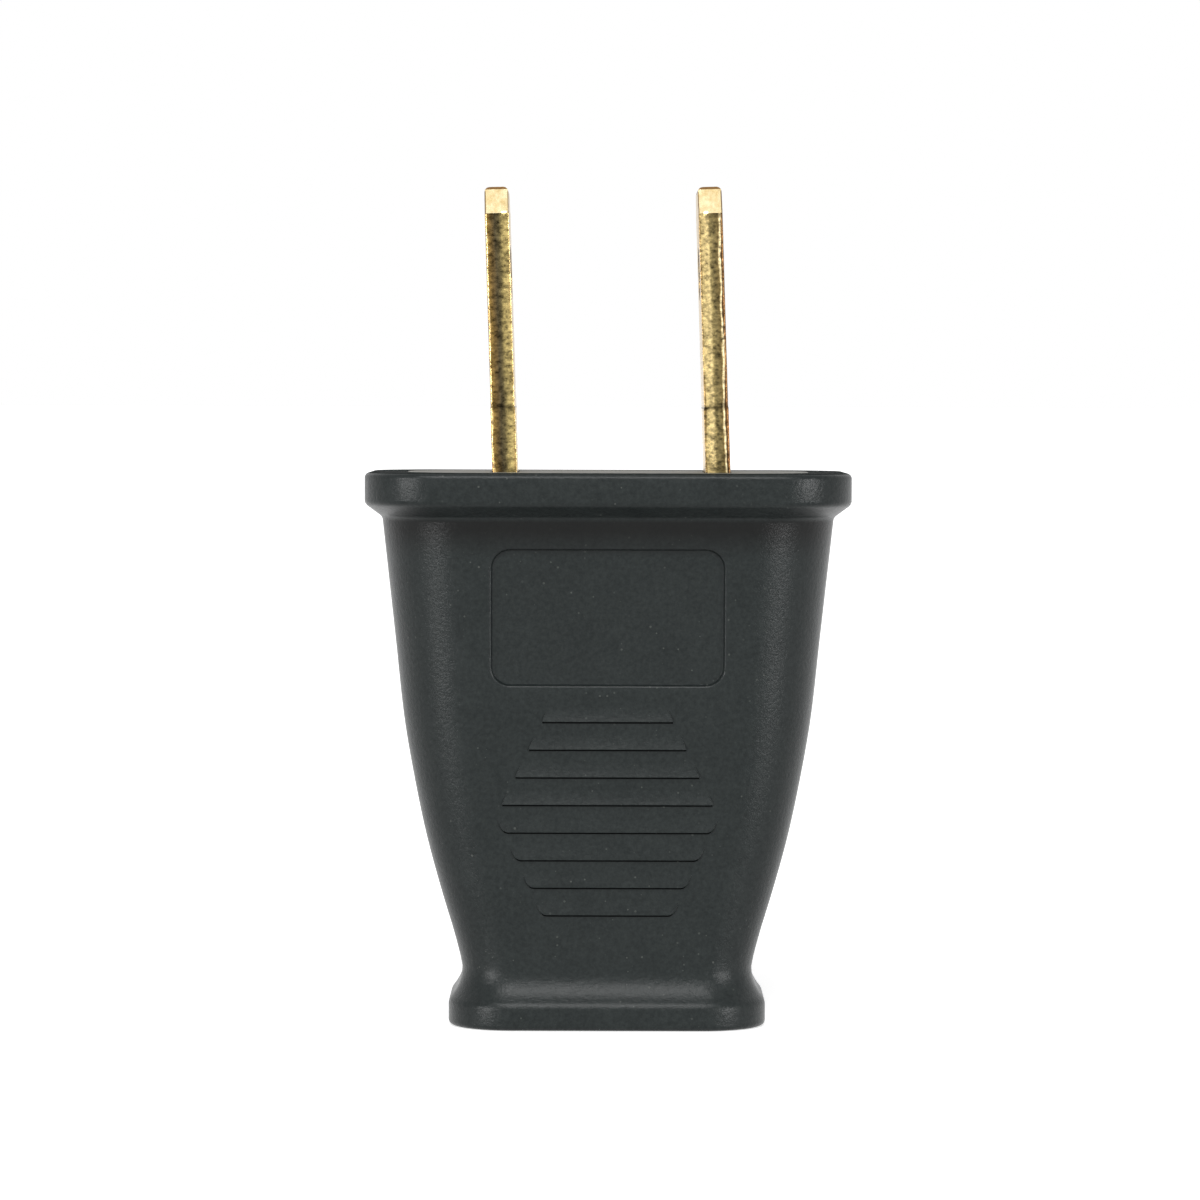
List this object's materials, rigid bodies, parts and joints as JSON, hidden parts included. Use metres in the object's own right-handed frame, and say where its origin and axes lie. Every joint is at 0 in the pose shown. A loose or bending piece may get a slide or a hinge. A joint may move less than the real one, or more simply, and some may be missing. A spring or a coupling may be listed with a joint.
{
  "type": "polarized plug",
  "caption": "Polarized mains plug: flat parallel blades in a rigid core, inside a tapered soft shell with a flanged face, grip bars and a cord entry.",
  "frame": {"origin": "centre of the cord-end face, on which the plug stands", "axes": "+Z towards the blade tips, +X across the two blades from the narrow one to the wide one, -Y towards the side with the recessed panel"},
  "size_m": [0.0288, 0.0176, 0.05],
  "materials": {
    "soft_vinyl": "charcoal soft vinyl with a fine moulded grain",
    "core_plastic": "dark grey moulded plastic, matt",
    "blade_brass": "stamped brass with sheared, striated edges",
    "spring_bronze": "bent spring bronze strip"
  },
  "bodies": {
    "root": {"shell": "soft_vinyl", "core": "core_plastic", "core_cap": "core_plastic", "hot_blade": "blade_brass", "neutral_blade": "blade_brass", "hot_spring": "spring_bronze", "neutral_spring": "spring_bronze"}
  },
  "joints": []
}
